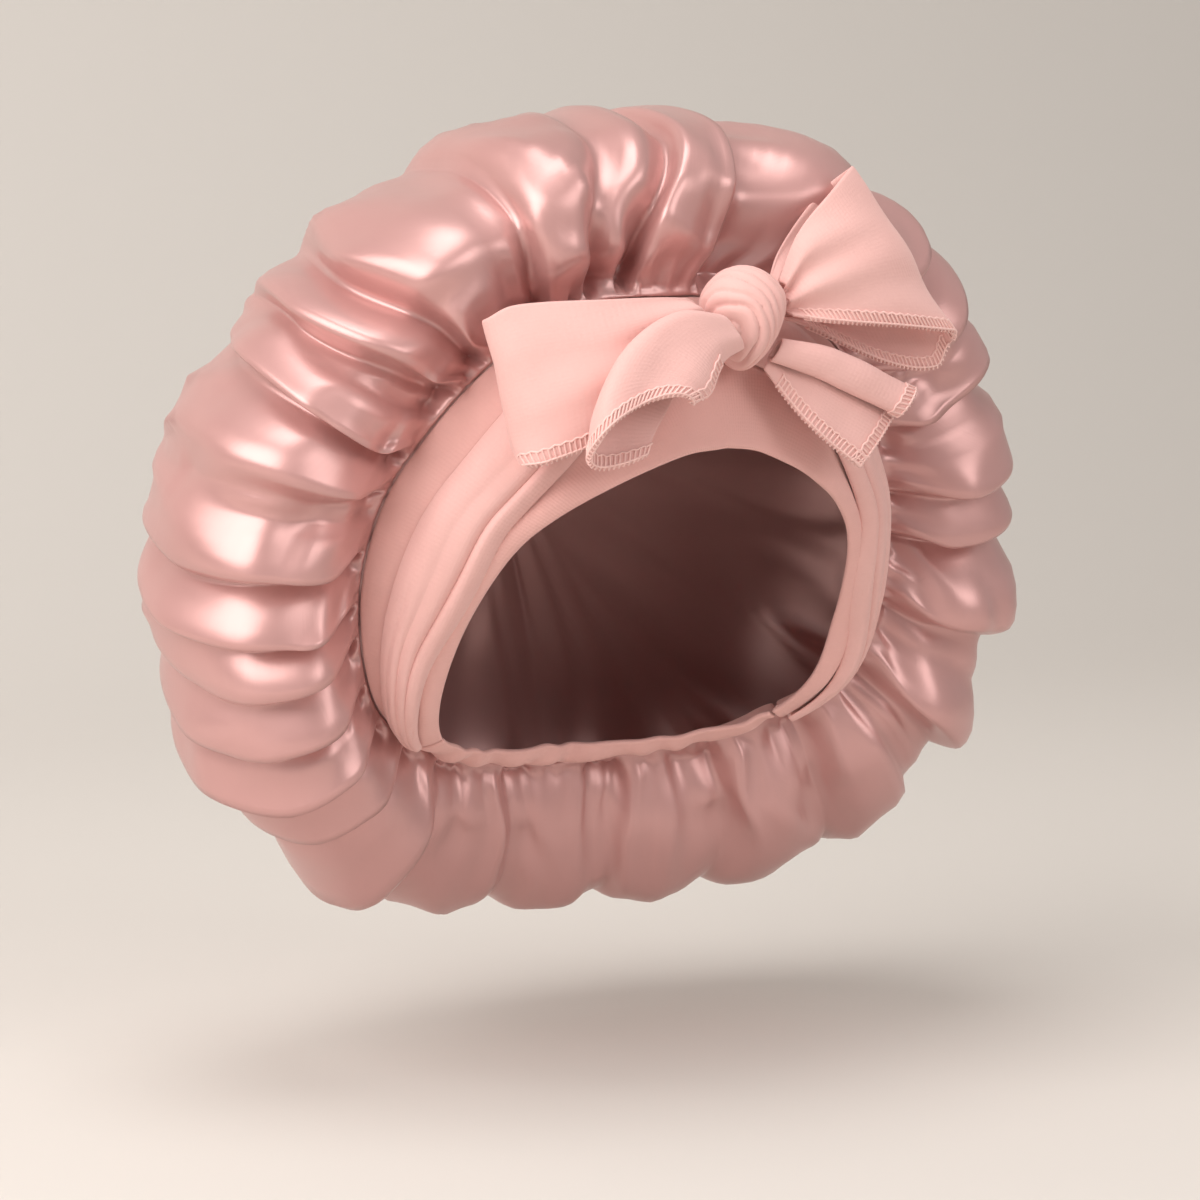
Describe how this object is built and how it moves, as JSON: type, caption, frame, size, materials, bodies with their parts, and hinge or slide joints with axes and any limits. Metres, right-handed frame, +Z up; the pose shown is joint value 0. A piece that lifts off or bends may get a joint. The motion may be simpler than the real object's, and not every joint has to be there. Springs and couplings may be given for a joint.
{
  "type": "sleep bonnet",
  "caption": "Puffy satin sleep bonnet gathered onto a wide jersey band, with jersey ties wrapped over the band and knotted in a bow at the forehead.",
  "frame": {"origin": "middle of the seam ring where the crown is gathered onto the band, inside the space for the head", "axes": "+Z up as worn, -Y is the way the face looks, +X is to the right as seen from the front"},
  "size_m": [0.3386, 0.2251, 0.2941],
  "materials": {
    "satin": "glossy dusty rose satin",
    "band_jersey": "matt peach pink jersey",
    "tie_jersey": "matt peach pink jersey, overlocked edges"
  },
  "bodies": {
    "root": {"crown": "satin", "band": "band_jersey", "nape_casing": "band_jersey", "tie_left": "tie_jersey", "tie_right": "tie_jersey", "bow_knot": "tie_jersey", "bow_loop_left": "tie_jersey", "bow_loop_right": "tie_jersey", "bow_tail_left": "tie_jersey", "bow_tail_right": "tie_jersey"}
  },
  "joints": []
}
